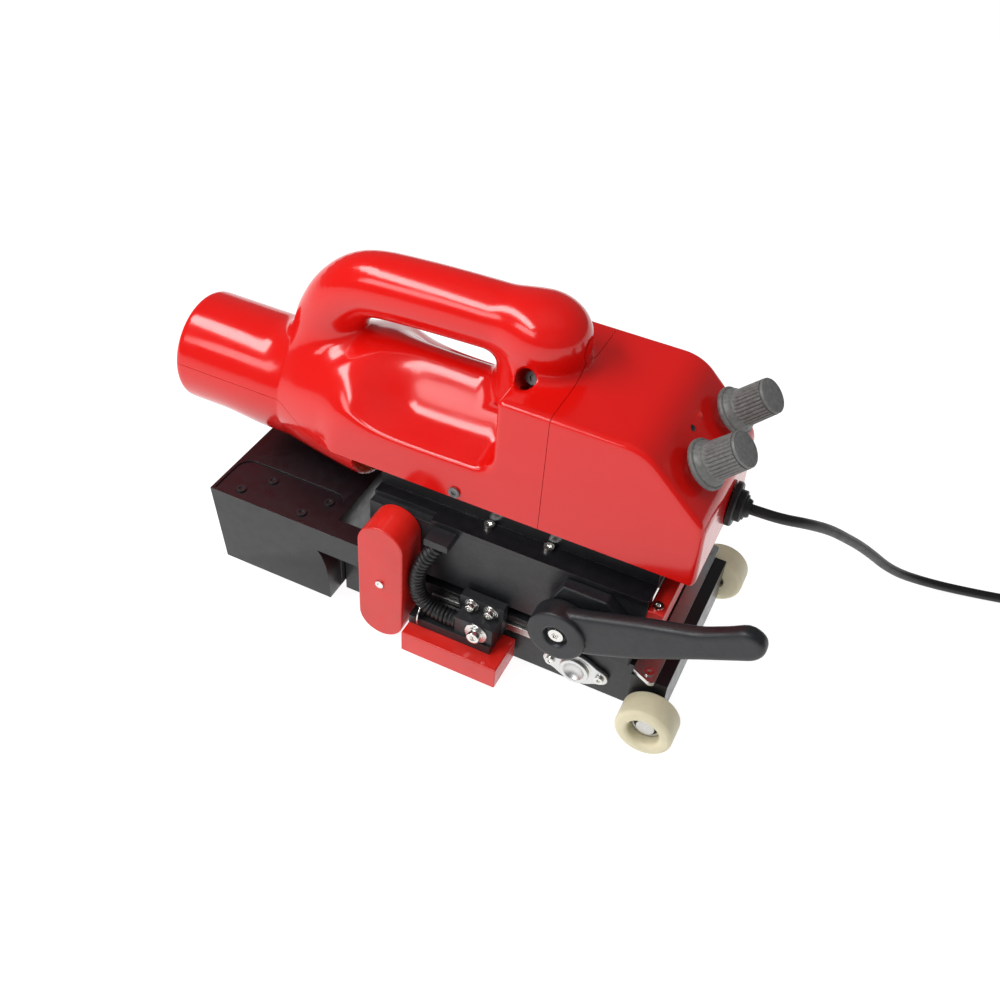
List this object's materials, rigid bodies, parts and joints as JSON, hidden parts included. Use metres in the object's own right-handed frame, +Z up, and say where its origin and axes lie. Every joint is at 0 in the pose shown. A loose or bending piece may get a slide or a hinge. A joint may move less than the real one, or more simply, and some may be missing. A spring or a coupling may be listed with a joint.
{
  "type": "hot wedge welder",
  "caption": "Hand-carried self-propelled hot-wedge welder for plastic sheet: handled housing over a slotted chassis with rollers, wedge carriage, pressure lever, knobs and mains lead.",
  "frame": {"origin": "middle of the machine's footprint on the floor, without the mains lead", "axes": "+X towards the control panel at the front, +Y towards the closed back of the throat, +Z up"},
  "size_m": [0.711, 0.3687, 0.257],
  "materials": {
    "red_plastic": "gloss moulded",
    "red_paint": "satin enamel",
    "black_paint": "semi-gloss enamel",
    "black_anodised": "black anodised",
    "black_plastic": "fine grained",
    "steel": "turned",
    "zinc": "bright plated",
    "aluminium": "brushed",
    "cast_iron": "cast",
    "brass": "machined",
    "nylon": "cream nylon",
    "grey_plastic": "ribbed",
    "rubber": "smooth",
    "board": "circuit board"
  },
  "bodies": {
    "machine": {"upper_housing": "red_plastic", "control_housing": "red_plastic", "lower_housing": "red_plastic", "motor_body": "steel", "gear_case": "aluminium", "top_plate": "black_paint", "upper_frame": "black_anodised", "lower_frame": "black_anodised", "far_frame": "black_anodised", "lever_block": "black_plastic", "inner_bracket": "black_paint", "arm_pin": "steel", "crossbar": "black_paint", "guide_plate": "aluminium", "front_bar": "red_paint", "rear_box": "black_paint", "rear_box_lid": "black_paint", "lid_screws": "black_plastic", "ballast_block": "cast_iron", "axles": "steel", "chain_cover": "red_paint", "drive_chain": "steel", "flange_bearing": "aluminium", "guide_rail": "steel", "conduit_gland": "black_plastic", "conduit": "black_plastic", "pressure_spring": "steel", "frame_screws": "zinc", "housing_screws": "cast_iron", "control_board": "board", "potentiometers": "zinc", "cord_gland": "rubber", "power_cord": "rubber", "cord_coil": "rubber", "mains_plug": "rubber"},
    "worm": {"worm_shaft": "steel"},
    "output": {"output_shaft": "steel", "worm_wheel": "brass"},
    "drive": {"drive_shaft": "steel", "drive_roller": "steel"},
    "arm": {"pressure_arm": "black_paint"},
    "press": {"pressure_roller": "steel"},
    "lever": {"lever": "black_plastic", "lever_screw": "zinc", "cam_shaft": "steel"},
    "carriage": {"guide_shoe": "red_paint", "carriage_bracket": "black_anodised", "hot_wedge": "brass", "heater_cartridges": "steel", "carriage_bolts": "zinc"},
    "near_wheel": {"front_wheel_near": "nylon", "wheel_bearing_near": "steel"},
    "far_wheel": {"front_wheel_far": "nylon", "wheel_bearing_far": "steel"},
    "rear_wheel": {"rear_roller": "nylon"},
    "track": {"track_roller": "steel"},
    "heat_knob": {"temperature_knob": "grey_plastic"},
    "pace_knob": {"speed_knob": "grey_plastic"}
  },
  "joints": [
    {"name": "drive_spin", "type": "hinge", "parent": "machine", "child": "drive", "pos_m": [-0.0297, -0.0278, 0.0242], "axis": [0, 1, 0], "continuous": true},
    {"name": "output_spin", "type": "hinge", "parent": "machine", "child": "output", "pos_m": [-0.0297, 0.0052, 0.0919], "axis": [0, 1, 0], "continuous": true},
    {"name": "worm_spin", "type": "hinge", "parent": "machine", "child": "worm", "pos_m": [-0.0297, 0.0052, 0.1335], "axis": [1, 0, 0], "continuous": true},
    {"name": "lever_swing", "type": "hinge", "parent": "machine", "child": "lever", "pos_m": [0.0982, -0.0648, 0.0738], "axis": [0, -1, 0], "range_deg": [0, 90]},
    {"name": "arm_rock", "type": "hinge", "parent": "machine", "child": "arm", "pos_m": [0.0605, -0.0288, 0.072], "axis": [0, 1, 0], "range_deg": [0, 3.04], "deforming": ["pressure_spring"]},
    {"name": "press_spin", "type": "hinge", "parent": "arm", "child": "press", "pos_m": [-0.0297, -0.0278, 0.064], "axis": [0, 1, 0], "continuous": true},
    {"name": "carriage_slide", "type": "slide", "parent": "machine", "child": "carriage", "axis": [1, 0, 0], "range_m": [0, 0.016], "deforming": ["conduit"]},
    {"name": "near_wheel_spin", "type": "hinge", "parent": "machine", "child": "near_wheel", "pos_m": [0.1674, -0.0758, 0.02], "axis": [0, 1, 0], "continuous": true},
    {"name": "far_wheel_spin", "type": "hinge", "parent": "machine", "child": "far_wheel", "pos_m": [0.1674, 0.0812, 0.02], "axis": [0, 1, 0], "continuous": true},
    {"name": "rear_roller_spin", "type": "hinge", "parent": "machine", "child": "rear_wheel", "pos_m": [-0.1245, 0.0052, 0.02], "axis": [0, 1, 0], "continuous": true},
    {"name": "track_roller_spin", "type": "hinge", "parent": "machine", "child": "track", "pos_m": [0.1085, 0.0052, 0.0236], "axis": [0, 1, 0], "continuous": true},
    {"name": "temperature_turn", "type": "hinge", "parent": "machine", "child": "heat_knob", "pos_m": [0.1502, -0.0198, 0.19151], "axis": [0.6998, 0, 0.7144], "range_deg": [-140, 140]},
    {"name": "speed_turn", "type": "hinge", "parent": "machine", "child": "pace_knob", "pos_m": [0.1502, 0.0382, 0.19151], "axis": [0.6998, 0, 0.7144], "range_deg": [-140, 140]}
  ],
  "couplings": [
    {"joint": "output_spin", "follows": "drive_spin", "ratio": 1},
    {"joint": "worm_spin", "follows": "drive_spin", "ratio": 20},
    {"joint": "arm_rock", "follows": "lever_swing", "ratio": 0.033789}
  ]
}
